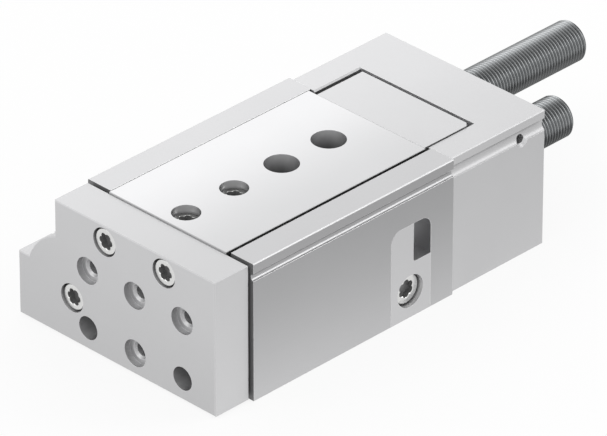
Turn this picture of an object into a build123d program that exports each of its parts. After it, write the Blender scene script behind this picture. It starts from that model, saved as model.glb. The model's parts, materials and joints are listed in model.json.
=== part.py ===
"""Pneumatic mini slide with ball guide, air cylinder and two shock absorbers.

Frame: X across the slide, +X towards the ground side wall. Y along the stroke, the yoke plate at
the -Y end, so the slide advances along -Y. Z up, Z = 0 on the mounting face. The origin is the
centre of the four tapped holes in the mounting face. The slide is drawn fully retracted.
All sizes are in millimetres.
"""
from build123d import *
import os

# Overall body
main_width = 67.5
guide_width = 69.6
block_width = 67.1
body_height = 47.3
block_drop = 0.3
guide_start = -57.1
guide_length = 84.7
block_length = 41.2
edge_break = 0.3
fine_break = 0.15
past_face = 1.0

# Cylinder: its axis, bore and the round shoulder that covers it on the left side
bore_x = -26.8
bore_z = 15.6
bore_radius = 8.0
shoulder_radius = 19.7
foot_width = 16.0
foot_height = 22.5
barrel_wall = 2.8

# Guide channel in the steel body
left_wall = 9.7
right_wall = 9.3
ledge_below_slide = 3.9
floor_below_ledge = 9.5
ledge_reach = 7.4
channel_bevel = 5.0
slide_gap = 0.5

# Slide plate
stroke = 40.0
slide_rise = 0.1
slide_length = 84.2
slide_thickness = 12.0
lip_height = 3.5
left_lip_gap = 0.25
right_lip_gap = 1.1
side_recess = 2.4
grid = 20.0
first_hole_from_yoke = 7.6
screw_hole_radius = 4.5
access_radius = 5.5
slide_screw_recess = 2.5

# Ball guide
ball_radius = 2.0
track_radius = 2.1
track_drop = 7.4
balls_per_side = 8
ball_pitch = 5.0
cage_thickness = 1.0
cage_start = -34.0
cage_below_track = 5.5
cage_above_track = 3.2
cage_margin = 2.25

# Yoke plate
yoke_gap = 0.9
yoke_thickness = 14.0
yoke_bottom = 0.7
yoke_drop = 0.5
locating_radius = 4.5
locating_depth = 2.2
lead_in_radius = 2.9
upper_row_z = 28.0
lower_row_z = 8.0
plain_hole_radius = 3.9
yoke_screw_x = 12.5
yoke_screw_drop = 6.3
yoke_screw_recess = 0.5
rod_screw_recess = 0.7

# M5 and smaller cap screws
m5_radius = 2.5
m5_core = 2.1
m5_clearance = 2.75
m5_head_radius = 4.25
m5_head_height = 5.0
m5_head_hole = 4.75
m4_radius = 2.0
m4_clearance = 2.25
m4_head_radius = 3.5
m4_head_height = 4.0
m4_head_hole = 3.75
m3_radius = 1.5
m3_clearance = 1.7
m3_head_radius = 2.75
m3_head_height = 3.0
m3_head_hole = 3.0
m5_bite = 12.0
m6_radius = 3.0
m6_clearance = 3.3
m6_head_radius = 5.0
thread_gap = 0.04
drill_spare = 2.0
socket_share = 0.62
socket_depth_share = 0.5
lobe_share = 0.27
head_chamfer_share = 0.07

# Piston and rod
rod_radius = 4.0
rod_spigot = 3.0
running_gap = 0.05
piston_length = 11.0
end_gap = 0.7
gland_length = 7.7
nose_length = 4.0
nose_radius = 6.9
ring_thickness = 1.0
ring_inner = 6.2
ring_bite = 0.4
ring_opening = 6.0
gland_inset = 0.05
bush_radius = 5.5
bush_length = 3.5
seal_radius = 6.2
seal_length = 2.4
seal_squeeze = 0.02
lip_seal_length = 1.8
lip_seal_depth = 1.8
magnet_length = 2.4
magnet_depth = 2.6
bumper_thickness = 0.5
bumper_radius = 6.5
bumper_hole_gap = 0.5
piston_land = 1.0
o_ring_width = 1.6
o_ring_depth = 1.4
port_radius = m5_core

# Rear block and stop carrier
slot_depth = 20.0
slot_left_inset = 1.4
slot_right_inset = 1.35
slot_ledge = 0.5
carrier_rear_gap = 1.8
carrier_left_gap = 2.5
carrier_right_gap = 0.3
carrier_corner = 1.3
carrier_screw_x = 14.0
carrier_screw_recess = 0.5

# Shock absorbers, M14
absorber_radius = 7.0
absorber_below_slide = 4.4
advance_x = -8.7
retract_x = 20.2
advance_reach = 57.4
retract_reach = 20.6
plunger_radius = 2.5
plunger_travel = 8.0
plunger_spare = 0.4
plunger_guide = 20.0
plunger_round = 1.2
absorber_chamfer = 0.9
absorber_inset = 0.4
touch_gap = 0.3
absorber_hole_gap = 0.5
adjuster_radius = 4.5
adjuster_length = 4.0
adjuster_inset = 0.8
adjuster_slot = 1.2

# Travel stop on the channel floor
stop_thickness = 6.0
stop_left = 3.8
stop_right = 5.7
stop_above_axis = 1.8
stop_screw_bite = 8.0
stop_screw_recess = 0.3

# Cage stop under the slide plate
cage_stop_thickness = 2.0
cage_stop_start = 2.5
cage_stop_length = 28.5
cage_stop_ear = 5.0
cage_stop_ear_gap = 0.4
cage_catch_gap = 1.0

# Side pocket and its insert
pocket_rear_wall = 9.7
pocket_length = 17.0
pocket_top = 32.4
pocket_depth = 7.0
pocket_corner = 4.0
insert_gap = 0.05
window_length = 7.4
window_bottom = 19.0
window_corner = 1.0
side_screw_from_front = 8.3
side_screw_z = 9.2
side_screw_recess = 1.3
side_screw_hole = 5.5
side_head_height = 3.5
side_screw_bite = 10.0

# Side groove and small hole
groove_drop = 4.6
groove_radius = 1.35
groove_depth = 1.05
small_hole_y = 57.9
small_hole_radius = 1.2
small_hole_sink = 2.2
small_hole_depth = 6.0

# Sensor slot on the left face
sensor_z = 10.2
sensor_radius = 2.1
sensor_depth = 2.7
sensor_mouth = 2.8

# Mounting face
base_spacing_x = 24.0
base_spacing_y = 80.0
base_thread_depth = 10.0
through_radius = 3.3
through_seat = 12.0

# Long screws that hold the rear block, and dowels between block and guide body, as (x, z)
top_screw_x = -29.5
top_screw_drop = 4.0
lower_block_screws = [(28.5, 14.0), (2.0, 15.0), (-43.5, 5.5)]
block_screw_bite = 7.5
block_screw_recess = 0.5
dowels = [(-8.0, 9.0), (10.0, 15.0)]
dowel_radius = 2.0
dowel_reach = 8.0
barrel_screw_from_front = 11.0
barrel_screw_from_stop = 10.8
barrel_screw_from_rear = 7.4
barrel_screw_z = 4.0
barrel_screw_seat = 26.0
barrel_screw_bite = 8.0

# Places worked out from the sizes above
yoke_side = main_width / 2
guide_side = guide_width / 2
block_side = block_width / 2
foot_left = -yoke_side - foot_width
left_face = -guide_side + left_wall
right_face = guide_side - right_wall
guide_end = guide_start + guide_length
block_end = guide_end + block_length
yoke_back = guide_start - yoke_gap
yoke_front = yoke_back - yoke_thickness
slide_end = yoke_back + slide_length
block_height = body_height - block_drop
slide_top = body_height + slide_rise
slide_bottom = slide_top - slide_thickness
yoke_top = body_height - yoke_drop
channel_ledge = slide_bottom - ledge_below_slide
channel_floor = channel_ledge - floor_below_ledge
track_z = slide_top - track_drop
cage_bottom = track_z - cage_below_track
cage_top = track_z + cage_above_track
yoke_screw_z = slide_top - yoke_screw_drop
absorber_z = slide_bottom - absorber_below_slide
stop_top = absorber_z + stop_above_axis
groove_z = body_height - groove_drop
block_screws = [(top_screw_x, block_height - top_screw_drop), *lower_block_screws]
slot_end = guide_end + slot_depth
carrier_end = slot_end - carrier_rear_gap
lip_bottom = slide_top - lip_height
hole_y = [yoke_back + first_hole_from_yoke + grid * i for i in range(4)]
seat_radius = bore_radius + barrel_wall
barrel_right = bore_x + seat_radius
left_track = left_face + side_recess / 2
right_track = right_face - side_recess / 2
cage_length = (balls_per_side - 1) * ball_pitch + 2 * cage_margin
pocket_front = guide_end - pocket_rear_wall - pocket_length
side_screw_y = pocket_front + side_screw_from_front
plate_left = left_face + side_recess
plate_right = right_face - side_recess

# Cylinder lengths, from the front: gland, nose, piston at each end of the stroke, end cap
gland_front = guide_start + gland_inset + ring_thickness
gland_rear = gland_front + gland_length - ring_thickness
nose_end = gland_rear + nose_length
piston_front = nose_end + end_gap + stroke
piston_rear = piston_front + piston_length
cap_nose = piston_rear + end_gap
cap_front = cap_nose + nose_length
front_port_y = nose_end - nose_length / 2
rear_port_y = cap_nose + nose_length / 2

# Absorbers, from the points where each plunger meets its stop
retract_tip = carrier_end + touch_gap
retract_face = retract_tip + plunger_travel + plunger_spare
retract_end = block_end + retract_reach
advance_face = slide_end + absorber_inset
advance_tip = advance_face - plunger_travel - plunger_spare
advance_end = block_end + advance_reach
stop_face = advance_tip - stroke - touch_gap
stop_y = stop_face - stop_thickness / 2
barrel_screw_y = [
    guide_start + barrel_screw_from_front,
    stop_y + barrel_screw_from_stop,
    guide_end - barrel_screw_from_rear,
]


def block(x0, x1, y0, y1, z0, z1):
    """A box between two corners."""
    middle = Pos((x0 + x1) / 2, (y0 + y1) / 2, (z0 + z1) / 2)
    return middle * Box(x1 - x0, y1 - y0, z1 - z0)


def round_bar(start, direction, radius, length):
    """A cylinder from a point, along a direction."""
    return Solid.make_cylinder(radius, length, Plane(origin=start, z_dir=direction))


def along_y(x, z, radius, y0, y1):
    """A cylinder along Y between two places."""
    return round_bar((x, y0, z), (0, 1, 0), radius, y1 - y0)


def tube_y(x, z, outer, inner, y0, y1):
    """A ring along Y."""
    return along_y(x, z, outer, y0, y1) - along_y(x, z, inner, y0 - past_face, y1 + past_face)


def cone_y(x, z, first, second, y0, y1):
    """A cone along Y that changes from the first radius to the second."""
    plane = Plane(origin=(x, y0, z), z_dir=(0, 1, 0))
    return Solid.make_cone(first, second, y1 - y0, plane)


def area(x0, x1, z0, z1):
    """A rectangle of the cross-section."""
    return Pos((x0 + x1) / 2, (z0 + z1) / 2) * Rectangle(x1 - x0, z1 - z0)


def disc(x, z, radius):
    """A circle of the cross-section."""
    return Pos(x, z) * Circle(radius)


def pushed(section, y0, y1):
    """A cross-section, drawn as X and Z, pushed along Y from y0 to y1."""
    return Pos(0, y0, 0) * extrude(Plane.XZ * section, amount=y1 - y0, dir=(0, 1, 0))


def body_section(side, bottom, top):
    """Outline that the yoke plate, the guide zone and the rear block share, each with its own side."""
    main = area(-side, side, bottom, top)
    foot = area(foot_left, -side, bottom, foot_height)
    shoulder = disc(bore_x, bore_z, shoulder_radius) & area(foot_left, -side, bottom, top)
    return main + foot + shoulder


def barrel_section(extra):
    """Part of the outline that the cylinder barrel fills; extra widens its round seat."""
    radius = seat_radius + extra
    left = body_section(guide_side, 0, body_height) & area(foot_left, -guide_side, 0, body_height)
    under = area(-guide_side, barrel_right, 0, bore_z)
    over = area(-guide_side, bore_x, bore_z, bore_z + seat_radius)
    rounded = disc(bore_x, bore_z, radius) & area(bore_x, barrel_right + extra, bore_z, bore_z + radius)
    return left + under + over + rounded


def lower_channel(right, gap):
    """Deep part of the channel, with its bevelled corner beside the barrel; gap shrinks it."""
    left = left_face + ledge_reach + gap
    floor = channel_floor + gap
    points = [
        (left, channel_ledge + gap),
        (left, floor + channel_bevel),
        (left + channel_bevel, floor),
        (right, floor),
        (right, channel_ledge + gap),
    ]
    return make_face(Polyline(*points, close=True))


def lobed_socket(start, direction, radius, depth):
    """Six-lobe socket sunk into a screw head."""
    plane = Plane(origin=start, z_dir=direction)
    lobe = radius * lobe_share
    star = Circle(radius - lobe)
    for spot in PolarLocations(radius - lobe, 6):
        star += spot * Circle(lobe)
    return extrude(plane * star, amount=depth)


def hexagon_socket(start, direction, radius, depth):
    """Plain hexagon socket of the smaller screws; radius is half the width across flats."""
    plane = Plane(origin=start, z_dir=direction)
    return extrude(plane * RegularPolygon(radius, 6, major_radius=False), amount=depth)


def cap_screw(start, direction, head_radius, head_height, shank_radius, length, socket=lobed_socket):
    """Cap screw: start is the middle of the head's top, direction points along the shank."""
    along = Vector(*direction)
    seat = Vector(*start) + along * head_height
    head = round_bar(start, direction, head_radius, head_height)
    rim = head.edges().filter_by(GeomType.CIRCLE).sort_by(lambda edge: (edge.center() - start).length)[0]
    head = chamfer(rim, head_radius * head_chamfer_share)
    shank = round_bar(seat, direction, shank_radius - thread_gap, length)
    key = socket(start, direction, head_radius * socket_share, head_height * socket_depth_share)
    return head + shank - key


def m5_screw(start, direction, length):
    return cap_screw(start, direction, m5_head_radius, m5_head_height, m5_radius, length)


def m4_screw(start, direction, length):
    return cap_screw(start, direction, m4_head_radius, m4_head_height, m4_radius, length, hexagon_socket)


def m3_screw(start, direction, length):
    return cap_screw(start, direction, m3_head_radius, m3_head_height, m3_radius, length, hexagon_socket)


def screw_seat_y(x, z, y, seat, head_hole, clearance, end):
    """Counterbored hole along Y: mouth at y, head seat at seat, clearance hole to end."""
    mouth = along_y(x, z, head_hole, min(y, seat), max(y, seat))
    shank = along_y(x, z, clearance, min(seat, end), max(seat, end))
    return mouth + shank


def side_groove(side, y0, y1):
    """Shallow round groove along the right side."""
    centre = side + groove_radius - groove_depth
    return along_y(centre, groove_z, groove_radius, y0, y1)


def sensor_slot(y0, y1):
    """Sensor slot along the left face: a round channel behind a narrower mouth."""
    centre = foot_left + sensor_depth
    channel = along_y(centre, sensor_z, sensor_radius, y0, y1)
    bottom = sensor_z - sensor_mouth / 2
    mouth = block(foot_left - past_face, centre, y0, y1, bottom, bottom + sensor_mouth)
    return channel + mouth


def base_threads():
    """Four tapped holes of the mounting face."""
    holes = [
        round_bar((x, y, 0), (0, 0, 1), m5_core, base_thread_depth)
        for x in (-base_spacing_x / 2, base_spacing_x / 2)
        for y in (-base_spacing_y / 2, base_spacing_y / 2)
    ]
    return holes[0] + holes[1] + holes[2] + holes[3]


def break_ends(solid, size):
    """Small chamfer round the outer rim of both end faces along Y."""
    ends = solid.faces().filter_by(Axis.Y).sort_by(Axis.Y)
    rims = ends[0].outer_wire().edges() + ends[-1].outer_wire().edges()
    return chamfer(rims, size)


def guide_body():
    """Ground steel body: two strips, the full right wall and the floor under the channel."""
    section = area(-guide_side, guide_side, 0, body_height) - barrel_section(running_gap)
    section -= area(left_face, right_face, channel_ledge, body_height)
    section -= lower_channel(right_face, 0)
    section -= disc(left_track, track_z, track_radius)
    section -= disc(right_track, track_z, track_radius)
    body = pushed(section, guide_start, guide_end).solids()[0]
    upper = body.edges().filter_by(Axis.Y).group_by(Axis.Z)[-1].sort_by(Axis.X)
    body = chamfer([upper[0], upper[-1]], edge_break)
    body -= side_groove(guide_side, guide_start - past_face, guide_end + past_face)
    body -= pocket_shape(0)
    body -= base_threads()
    for y in hole_y[2:]:
        body -= round_bar((0, y, 0), (0, 0, 1), through_radius, channel_floor)
        body -= round_bar((0, y, through_seat), (0, 0, 1), access_radius, channel_floor - through_seat)
    for x, z in block_screws[:-1]:
        body -= along_y(x, z, m4_radius, guide_end - block_screw_bite - drill_spare, guide_end)
    for x, z in dowels:
        body -= along_y(x, z, dowel_radius + thread_gap, guide_end - dowel_reach, guide_end)
    for y in barrel_screw_y:
        start = (barrel_right, y, barrel_screw_z)
        body -= round_bar(start, (1, 0, 0), m3_radius, barrel_screw_bite + drill_spare)
    stop_hole = (advance_x, stop_y, 0)
    body -= round_bar(stop_hole, (0, 0, 1), m4_clearance, channel_floor)
    body -= round_bar(stop_hole, (0, 0, 1), m4_head_hole, m4_head_height + stop_screw_recess)
    start = (guide_side - pocket_depth, side_screw_y, side_screw_z)
    body -= round_bar(start, (-1, 0, 0), m6_radius, side_screw_bite + drill_spare)
    return body


def pocket_shape(gap):
    """Arched pocket of the right wall, open at the bottom; gap shrinks it for the insert."""
    y0 = pocket_front + gap
    y1 = pocket_front + pocket_length - gap
    top = pocket_top - gap
    solid = block(guide_side - pocket_depth, guide_side, y0, y1, 0, top)
    upper = solid.edges().filter_by(Axis.X).group_by(Axis.Z)[-1]
    return fillet(upper, pocket_corner - gap)


def cylinder_barrel():
    """Aluminium barrel with the round shoulder, both air ports and the sensor slot."""
    barrel = pushed(barrel_section(0), guide_start, guide_end).solids()[0]
    barrel -= along_y(bore_x, bore_z, bore_radius, guide_start - past_face, guide_end + past_face)
    ring_y = guide_start + gland_inset
    barrel -= along_y(bore_x, bore_z, bore_radius + ring_bite, ring_y, ring_y + ring_thickness)
    for y in (front_port_y, rear_port_y):
        barrel -= round_bar((foot_left, y, bore_z), (1, 0, 0), port_radius, bore_x - foot_left)
    barrel -= sensor_slot(guide_start - past_face, guide_end + past_face)
    for y in barrel_screw_y:
        start = (foot_left, y, barrel_screw_z)
        barrel -= round_bar(start, (1, 0, 0), m3_head_hole, barrel_screw_seat)
        barrel -= round_bar(start, (1, 0, 0), m3_clearance, barrel_right - foot_left)
    x, z = block_screws[-1]
    barrel -= along_y(x, z, m4_radius, guide_end - block_screw_bite - drill_spare, guide_end)
    return barrel


def barrel_screws():
    """Three M3 screws that pull the barrel against the guide body."""
    length = barrel_right - foot_left - barrel_screw_seat + barrel_screw_bite
    first = foot_left + barrel_screw_seat - m3_head_height
    return [m3_screw((first, y, barrel_screw_z), (1, 0, 0), length) for y in barrel_screw_y]


def rear_block():
    """Aluminium block with the slot for the stop carrier and the holes of both absorbers."""
    body = pushed(body_section(block_side, 0, block_height), guide_end, block_end).solids()[0]
    body = chamfer(body.faces().sort_by(Axis.Y)[-1].outer_wire().edges(), edge_break)
    body = chamfer(body.edges().filter_by(Axis.Y).group_by(Axis.Z)[-1], edge_break)
    slot_left = left_face + slot_left_inset
    slot_right = right_face - slot_right_inset
    upper = area(slot_left, slot_right, channel_ledge, block_height + past_face)
    slot = upper + lower_channel(slot_right, 0)
    body -= pushed(slot, guide_end, slot_end)
    ledge = body.edges().filter_by(Axis.Y).filter_by(
        lambda edge: abs(edge.center().X - slot_left) < 0.01 and edge.center().Z > block_height - 0.01
    )
    body = chamfer(ledge, slot_ledge)
    body -= along_y(advance_x, absorber_z, absorber_radius + absorber_hole_gap, slot_end, block_end)
    body -= along_y(retract_x, absorber_z, absorber_radius + thread_gap, slot_end, block_end)
    body -= side_groove(block_side, guide_end - past_face, block_end + past_face)
    start = (block_side - groove_depth - small_hole_depth, small_hole_y, groove_z)
    body -= round_bar(start, (1, 0, 0), small_hole_radius, small_hole_depth + groove_depth)
    sink = Plane(origin=(block_side - groove_depth, small_hole_y, groove_z), z_dir=(1, 0, 0))
    body -= Solid.make_cone(small_hole_radius, small_hole_sink, groove_depth, sink)
    body -= base_threads()
    body -= sensor_slot(guide_end - past_face, block_end + past_face)
    head_seat = block_end - m4_head_height - block_screw_recess
    for x, z in block_screws:
        body -= screw_seat_y(x, z, block_end, head_seat, m4_head_hole, m4_clearance, guide_end)
    for x, z in dowels:
        body -= along_y(x, z, dowel_radius + thread_gap, guide_end, guide_end + dowel_reach)
    return body


def rear_block_screws():
    """Four long M4 screws from the rear face into the guide body and the barrel."""
    top = block_end - block_screw_recess
    length = top - m4_head_height - guide_end + block_screw_bite
    return [m4_screw((x, top, z), (0, -1, 0), length) for x, z in block_screws]


def locating_dowels():
    """Two pins that line the rear block up with the guide body."""
    return [
        along_y(x, z, dowel_radius, guide_end - dowel_reach, guide_end + dowel_reach)
        for x, z in dowels
    ]


def side_insert():
    """Aluminium insert of the side pocket, with the window at its upper rear corner."""
    insert = pocket_shape(insert_gap)
    rear = pocket_front + pocket_length
    inside = guide_side - pocket_depth - past_face
    outside = guide_side + past_face
    window = block(inside, outside, rear - window_length, rear, window_bottom, pocket_top)
    corner = window.edges().filter_by(Axis.X).group_by(Axis.Z)[0].sort_by(Axis.Y)[0]
    insert -= fillet(corner, window_corner)
    start = (guide_side - pocket_depth, side_screw_y, side_screw_z)
    seat = guide_side - side_screw_recess - side_head_height
    insert -= round_bar(start, (1, 0, 0), m6_clearance, pocket_depth)
    insert -= round_bar((seat, side_screw_y, side_screw_z), (1, 0, 0), side_screw_hole, guide_side - seat)
    return insert


def side_insert_screw():
    start = (guide_side - side_screw_recess, side_screw_y, side_screw_z)
    length = side_screw_bite + pocket_depth - side_screw_recess - side_head_height
    return cap_screw(start, (-1, 0, 0), m6_head_radius, side_head_height, m6_radius, length)


def rod_gland():
    """Front end cap of the cylinder: it holds the bush and the rod seal, with a spacing nose."""
    gland = along_y(bore_x, bore_z, bore_radius - running_gap, gland_front, gland_rear)
    gland += along_y(bore_x, bore_z, nose_radius, gland_rear, nose_end)
    rod_hole = rod_radius + running_gap
    gland -= along_y(bore_x, bore_z, rod_hole, gland_front - past_face, nose_end + past_face)
    gland -= along_y(bore_x, bore_z, bush_radius, gland_front, gland_front + bush_length)
    gland -= along_y(bore_x, bore_z, seal_radius, gland_rear - seal_length, gland_rear)
    gland -= static_ring(gland_front + bush_length, 0)
    return gland


def gland_retaining_ring():
    """Spring ring in the barrel's groove; the gap faces down."""
    start = guide_start + gland_inset
    outer = bore_radius + ring_bite - running_gap
    ring = tube_y(bore_x, bore_z, outer, ring_inner, start, start + ring_thickness)
    left = bore_x - ring_opening / 2
    right = bore_x + ring_opening / 2
    rear = start + ring_thickness + past_face
    return ring - block(left, right, start - past_face, rear, bore_z - outer - past_face, bore_z)


def rod_bush():
    outer = bush_radius - thread_gap
    return tube_y(bore_x, bore_z, outer, rod_radius + running_gap, gland_front, gland_front + bush_length)


def rod_seal():
    outer = seal_radius - seal_squeeze
    inner = rod_radius + running_gap
    return tube_y(bore_x, bore_z, outer, inner, gland_rear - seal_length, gland_rear)


def static_ring(y, squeeze):
    """One O-ring, or its groove when squeeze is 0, around a plug of the bore."""
    outer = bore_radius - running_gap
    inner = outer - o_ring_depth
    return tube_y(bore_x, bore_z, outer, inner + squeeze, y, y + o_ring_width)


def end_cap():
    """Rear plug of the bore, held by the rear block, with a spacing nose."""
    cap = along_y(bore_x, bore_z, bore_radius - running_gap, cap_front, guide_end)
    cap += along_y(bore_x, bore_z, nose_radius, cap_nose, cap_front)
    return cap - static_ring(cap_front + o_ring_width, 0)


def static_seals():
    """O-rings of the gland and the end cap."""
    front = static_ring(gland_front + bush_length, seal_squeeze)
    rear = static_ring(cap_front + o_ring_width, seal_squeeze)
    return [front, rear]


def piston_rod():
    """Rod with a spigot through the piston and an M5 thread in its front end."""
    rod = along_y(bore_x, bore_z, rod_radius, yoke_back, piston_front)
    rod += along_y(bore_x, bore_z, rod_spigot, piston_front, piston_rear - bumper_thickness)
    return rod - along_y(bore_x, bore_z, m5_radius, yoke_back, yoke_back + m5_bite + drill_spare)


def piston_grooves():
    """Start of the front seal groove, the magnet groove and the rear seal groove."""
    front = piston_front + piston_land
    rear = piston_rear - piston_land - lip_seal_length
    middle = (piston_front + piston_rear - magnet_length) / 2
    return front, middle, rear


def piston():
    front, middle, rear = piston_grooves()
    outer = bore_radius - running_gap
    body = along_y(bore_x, bore_z, outer, piston_front, piston_rear)
    hole = rod_spigot + thread_gap
    body -= along_y(bore_x, bore_z, hole, piston_front - past_face, piston_rear + past_face)
    for start in (front, rear):
        end = start + lip_seal_length
        body -= tube_y(bore_x, bore_z, outer + past_face, outer - lip_seal_depth, start, end)
    end = middle + magnet_length
    body -= tube_y(bore_x, bore_z, outer + past_face, outer - magnet_depth, middle, end)
    for face, step in ((piston_front, bumper_thickness), (piston_rear, -bumper_thickness)):
        body -= bumper(face, face + step)
    return body


def bumper(face, other):
    """Rubber ring set flush into a face of the piston."""
    inner = rod_radius + bumper_hole_gap
    return tube_y(bore_x, bore_z, bumper_radius, inner, min(face, other), max(face, other))


def piston_bumpers():
    front = bumper(piston_front, piston_front + bumper_thickness)
    rear = bumper(piston_rear, piston_rear - bumper_thickness)
    return [front, rear]


def piston_seals():
    front, _, rear = piston_grooves()
    outer = bore_radius - seal_squeeze
    inner = bore_radius - running_gap - lip_seal_depth
    return [tube_y(bore_x, bore_z, outer, inner, start, start + lip_seal_length) for start in (front, rear)]


def piston_magnet():
    _, middle, _ = piston_grooves()
    outer = bore_radius - 2 * running_gap
    inner = bore_radius - running_gap - magnet_depth
    return tube_y(bore_x, bore_z, outer, inner, middle, middle + magnet_length)


def yoke_plate():
    """Front plate with the hole grid, the slide screws and the piston rod screw."""
    plate = pushed(body_section(yoke_side, yoke_bottom, yoke_top), yoke_front, yoke_back).solids()[0]
    plate = break_ends(plate, edge_break)
    spots = [(-grid, upper_row_z), (0, upper_row_z), (grid, upper_row_z), (0, lower_row_z)]
    for x, z in spots:
        plate -= along_y(x, z, locating_radius, yoke_front, yoke_front + locating_depth)
        lead = yoke_front + locating_depth
        plate -= cone_y(x, z, lead_in_radius, m5_core, lead, lead + lead_in_radius - m5_core)
        plate -= along_y(x, z, m5_core, yoke_front, yoke_back)
    for x in (-grid, grid):
        plate -= along_y(x, lower_row_z, plain_hole_radius, yoke_front, yoke_back)
    for x in (-yoke_screw_x, yoke_screw_x):
        seat = yoke_front + yoke_screw_recess + m5_head_height
        plate -= screw_seat_y(x, yoke_screw_z, yoke_front, seat, m5_head_hole, m5_clearance, yoke_back)
    seat = yoke_front + rod_screw_recess + m5_head_height
    plate -= screw_seat_y(bore_x, bore_z, yoke_front, seat, m5_head_hole, m5_clearance, yoke_back)
    return plate


def yoke_screws():
    """Two M5 screws that hold the yoke on the slide plate."""
    start = yoke_front + yoke_screw_recess
    length = yoke_thickness - yoke_screw_recess - m5_head_height + m5_bite
    return [m5_screw((x, start, yoke_screw_z), (0, 1, 0), length) for x in (-yoke_screw_x, yoke_screw_x)]


def rod_screw():
    start = yoke_front + rod_screw_recess
    length = yoke_thickness - rod_screw_recess - m5_head_height + m5_bite
    return m5_screw((bore_x, start, bore_z), (0, 1, 0), length)


def slide_plate():
    """Polished slide plate with both ball tracks under its lips."""
    section = area(left_face + left_lip_gap, right_face - right_lip_gap, lip_bottom, slide_top)
    section += area(plate_left, plate_right, slide_bottom, lip_bottom)
    section -= disc(left_track, track_z, track_radius)
    section -= disc(right_track, track_z, track_radius)
    plate = pushed(section, yoke_back, slide_end).solids()[0]
    plate = chamfer(plate.faces().sort_by(Axis.Z)[-1].edges(), fine_break)
    seat = slide_top - slide_screw_recess - m5_head_height
    for y in hole_y[:2]:
        plate -= round_bar((0, y, seat), (0, 0, 1), screw_hole_radius, slide_top - seat)
        plate -= round_bar((0, y, slide_bottom), (0, 0, 1), m5_clearance, slide_thickness)
    for y in hole_y[2:]:
        plate -= round_bar((0, y, slide_bottom), (0, 0, 1), access_radius, slide_thickness)
    tapped = m5_bite + drill_spare
    for x in (-yoke_screw_x, yoke_screw_x):
        plate -= along_y(x, yoke_screw_z, m5_radius, yoke_back, yoke_back + tapped)
    for x in (-carrier_screw_x, carrier_screw_x):
        plate -= along_y(x, yoke_screw_z, m5_radius, slide_end - tapped, slide_end)
    return plate


def cage_stop():
    """Steel strip under the slide plate; its ears catch the ball cages."""
    top = slide_bottom
    bottom = top - cage_stop_thickness
    start = yoke_back + cage_stop_start
    strip = block(plate_left, plate_right, start, start + cage_stop_length, bottom, top)
    ear_end = cage_start - cage_catch_gap
    ear_left = left_face + cage_stop_ear_gap
    ear_right = right_face - cage_stop_ear_gap
    strip += block(ear_left, ear_right, ear_end - cage_stop_ear, ear_end, bottom, top)
    for y in hole_y[:2]:
        strip -= round_bar((0, y, bottom), (0, 0, 1), m5_radius, cage_stop_thickness)
    return strip


def slide_screws():
    """Two M5 screws sunk in the slide plate, which hold the cage stop."""
    top = slide_top - slide_screw_recess
    length = top - m5_head_height - slide_bottom + cage_stop_thickness
    return [m5_screw((0, y, top), (0, 0, -1), length) for y in hole_y[:2]]


def stop_carrier():
    """Tongue behind the slide plate, with the block that carries the advance absorber."""
    left = left_face + slot_left_inset + carrier_left_gap
    right = right_face - slot_right_inset - carrier_right_gap
    section = area(left, right, channel_ledge + slide_gap, slide_top) + lower_channel(right, slide_gap)
    carrier = pushed(section, slide_end, carrier_end).solids()[0]
    rear_corners = carrier.edges().filter_by(Axis.Z).group_by(Axis.Y)[-1].filter_by(
        lambda edge: edge.center().Z > channel_ledge or edge.center().X > 0
    )
    carrier = chamfer(rear_corners, carrier_corner)
    carrier -= along_y(advance_x, absorber_z, absorber_radius + thread_gap, slide_end, carrier_end)
    seat = carrier_end - carrier_screw_recess - m5_head_height
    for x in (-carrier_screw_x, carrier_screw_x):
        carrier -= screw_seat_y(x, yoke_screw_z, carrier_end, seat, m5_head_hole, m5_clearance, slide_end)
    return carrier


def carrier_screws():
    """Two M5 screws from behind the stop carrier into the slide plate."""
    start = carrier_end - carrier_screw_recess
    length = start - m5_head_height - slide_end + m5_bite
    back = (0, -1, 0)
    return [m5_screw((x, start, yoke_screw_z), back, length) for x in (-carrier_screw_x, carrier_screw_x)]


def absorber(x, face, end):
    """Threaded absorber body, with the plunger's bore in front and a seat for its adjuster behind."""
    body = along_y(x, absorber_z, absorber_radius, face, end)
    body = chamfer(body.edges().filter_by(GeomType.CIRCLE), absorber_chamfer)
    depth = plunger_guide + plunger_travel + plunger_spare
    body -= along_y(x, absorber_z, plunger_radius + running_gap, face, face + depth)
    seat = end - adjuster_inset - adjuster_length
    return body - along_y(x, absorber_z, adjuster_radius, seat, end)


def plunger(x, tip, face):
    """Hardened plunger with a rounded tip."""
    rod = along_y(x, absorber_z, plunger_radius, tip, face + plunger_guide)
    rim = rod.edges().filter_by(GeomType.CIRCLE).sort_by(Axis.Y)[0]
    return fillet(rim, plunger_round)


def adjuster(x, end):
    """Slotted adjusting disc in the rear end of an absorber."""
    rear = end - adjuster_inset
    screw = along_y(x, absorber_z, adjuster_radius - thread_gap, rear - adjuster_length, rear)
    cut = block(
        x - adjuster_radius, x + adjuster_radius, rear - adjuster_slot, rear,
        absorber_z - adjuster_slot / 2, absorber_z + adjuster_slot / 2,
    )
    return screw - cut


def travel_stop():
    """Hardened block on the channel floor, which the advance plunger meets."""
    stop = block(
        advance_x - stop_left, advance_x + stop_right,
        stop_face - stop_thickness, stop_face, channel_floor, stop_top,
    )
    depth = stop_screw_bite + drill_spare
    return stop - round_bar((advance_x, stop_y, channel_floor), (0, 0, 1), m4_radius, depth)


def travel_stop_screw():
    start = (advance_x, stop_y, stop_screw_recess)
    length = channel_floor - stop_screw_recess - m4_head_height + stop_screw_bite
    return m4_screw(start, (0, 0, 1), length)


def ball_places():
    """Middle of each ball, the left row and then the right row."""
    first = cage_start + cage_margin
    return [(x, first + i * ball_pitch) for x in (left_track, right_track) for i in range(balls_per_side)]


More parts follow.
